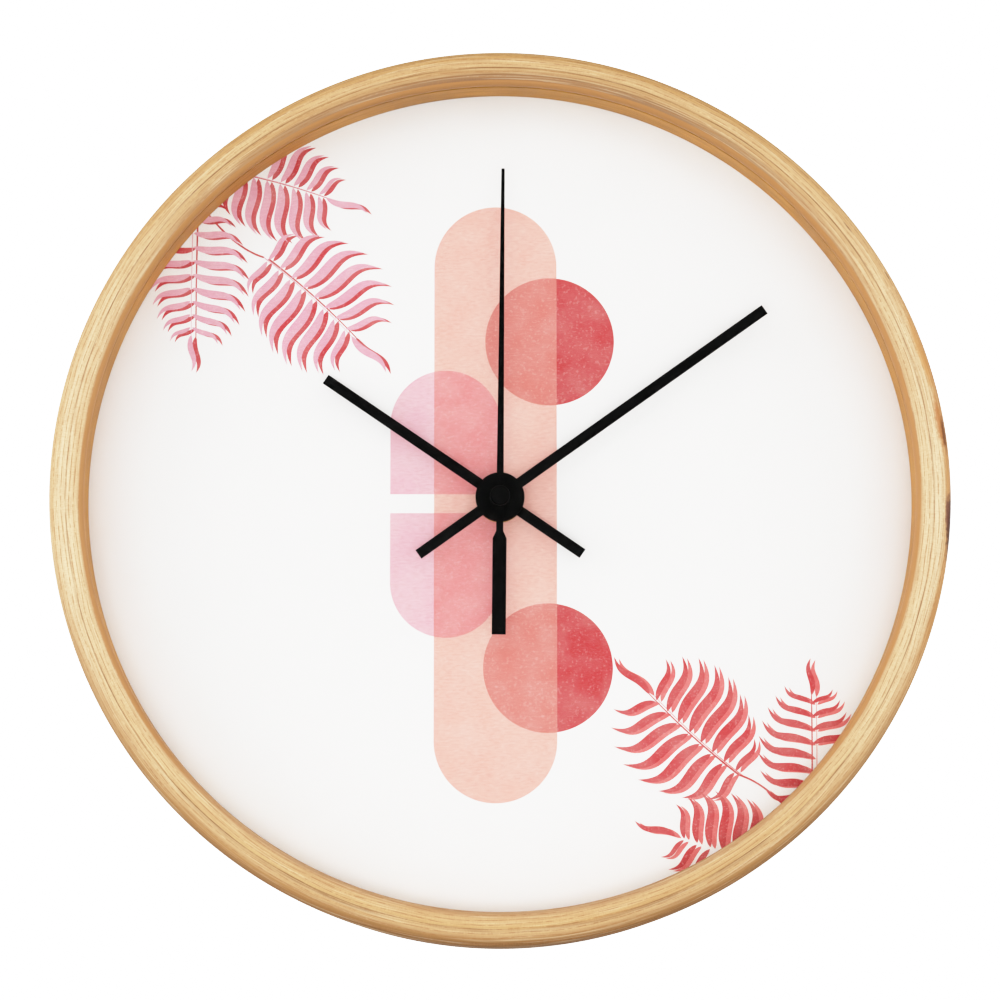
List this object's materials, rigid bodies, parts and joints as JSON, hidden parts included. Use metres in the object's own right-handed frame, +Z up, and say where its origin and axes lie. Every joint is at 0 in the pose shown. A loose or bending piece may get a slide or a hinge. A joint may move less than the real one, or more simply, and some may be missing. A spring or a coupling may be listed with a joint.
{
  "type": "wall clock",
  "caption": "Round analogue wall clock: pale wooden hoop, printed white dial behind a clear lens, plain black hands, battery quartz movement, keyhole hanger on its back.",
  "frame": {"origin": "on the wall plane, in the middle of the keyhole slot's round top, where the wall nail holds the clock; the hands' axis is 90 mm below it", "axes": "+Z up, +Y out of the clock's back into the wall, so the dial faces -Y, and +X to the right as the dial is read"},
  "size_m": [0.254, 0.042, 0.254],
  "materials": {
    "hoop_wood": "satin oiled, laminated bamboo",
    "inner_wood": "satin, a tan strip",
    "block_wood": "sawn pine",
    "clear_acrylic": "clear and polished",
    "dial_print": "matt white with a print",
    "fibreboard": "raw hardboard",
    "black_enamel": "satin black",
    "zinc_steel": "bright zinc plate",
    "brass": "satin",
    "black_plastic": "fine moulded texture",
    "natural_plastic": "smooth moulded",
    "rubber": "matt",
    "circuit_board": "green lacquer",
    "copper_wire": "enamelled wire",
    "battery_sleeve": "printed sleeve, plain",
    "magnet": "dark sintered"
  },
  "bodies": {
    "clock": {"frame_hoop": "hoop_wood", "lens": "clear_acrylic", "spacer_ring": "inner_wood", "dial": "dial_print", "dial_board": "fibreboard", "back_panel": "fibreboard", "glue_block_1": "block_wood", "glue_block_2": "block_wood", "glue_block_3": "block_wood", "glue_block_4": "block_wood", "panel_screw_1": "zinc_steel", "panel_screw_2": "zinc_steel", "panel_screw_3": "zinc_steel", "panel_screw_4": "zinc_steel", "hanger_plate": "zinc_steel", "hanger_screw_left": "zinc_steel", "hanger_screw_right": "zinc_steel", "movement_case": "black_plastic", "movement_cover": "black_plastic", "movement_gasket": "rubber", "shaft_bush": "brass", "shaft_washer": "brass", "shaft_nut": "brass", "middle_plate": "natural_plastic", "rear_plate": "natural_plastic", "stator": "zinc_steel", "coil_core": "zinc_steel", "coil_bobbin": "natural_plastic", "coil_winding": "copper_wire", "circuit_board": "circuit_board", "quartz_crystal": "zinc_steel", "chip_drop": "black_plastic", "battery_contact_positive": "zinc_steel", "battery_contact_negative": "zinc_steel", "battery": "battery_sleeve"},
    "second": {"second_wheel": "natural_plastic", "second_hand": "black_enamel"},
    "rotor": {"rotor_pinion": "natural_plastic", "rotor_magnet": "magnet"},
    "fifth_wheel": {"fifth_wheel": "natural_plastic"},
    "third_wheel": {"third_wheel": "natural_plastic"},
    "centre_wheel": {"centre_wheel": "natural_plastic"},
    "minute": {"minute_pipe": "brass", "minute_hand": "black_enamel", "hand_nut": "brass"},
    "minute_works": {"minute_works_wheel": "natural_plastic"},
    "hour": {"hour_wheel": "natural_plastic", "hour_hand": "black_enamel"},
    "setting_knob": {"setting_knob": "black_plastic"}
  },
  "joints": [
    {"name": "second_turn", "type": "hinge", "parent": "clock", "child": "second", "pos_m": [0, -0.035, -0.09], "axis": [0, 1, 0], "continuous": true},
    {"name": "rotor_turn", "type": "hinge", "parent": "clock", "child": "rotor", "pos_m": [-0.00915, -0.011, -0.07516], "axis": [0, 1, 0], "continuous": true},
    {"name": "fifth_turn", "type": "hinge", "parent": "clock", "child": "fifth_wheel", "pos_m": [-0.00188, -0.0095, -0.07936], "axis": [0, 1, 0], "continuous": true},
    {"name": "third_turn", "type": "hinge", "parent": "clock", "child": "third_wheel", "pos_m": [0.00935, -0.012, -0.0846], "axis": [0, 1, 0], "continuous": true},
    {"name": "centre_turn", "type": "hinge", "parent": "clock", "child": "centre_wheel", "pos_m": [0, -0.0126, -0.09], "axis": [0, 1, 0], "continuous": true},
    {"name": "minute_turn", "type": "hinge", "parent": "clock", "child": "minute", "pos_m": [0, -0.0325, -0.09], "axis": [0, 1, 0], "continuous": true},
    {"name": "minute_works_turn", "type": "hinge", "parent": "clock", "child": "minute_works", "pos_m": [-0.00985, -0.016, -0.08826], "axis": [0, 1, 0], "continuous": true},
    {"name": "hour_turn", "type": "hinge", "parent": "clock", "child": "hour", "pos_m": [0, -0.0305, -0.09], "axis": [0, 1, 0], "continuous": true},
    {"name": "knob_turn", "type": "hinge", "parent": "clock", "child": "setting_knob", "pos_m": [-0.02019, -0.0025, -0.09009], "axis": [0, 1, 0], "continuous": true}
  ],
  "couplings": [
    {"joint": "rotor_turn", "follows": "second_turn", "ratio": 30},
    {"joint": "fifth_turn", "follows": "second_turn", "ratio": -5},
    {"joint": "third_turn", "follows": "second_turn", "ratio": -0.13333},
    {"joint": "centre_turn", "follows": "second_turn", "ratio": 0.016667},
    {"joint": "minute_works_turn", "follows": "minute_turn", "ratio": -0.33333},
    {"joint": "hour_turn", "follows": "minute_turn", "ratio": 0.083333},
    {"joint": "knob_turn", "follows": "minute_turn", "ratio": 0.83333}
  ]
}
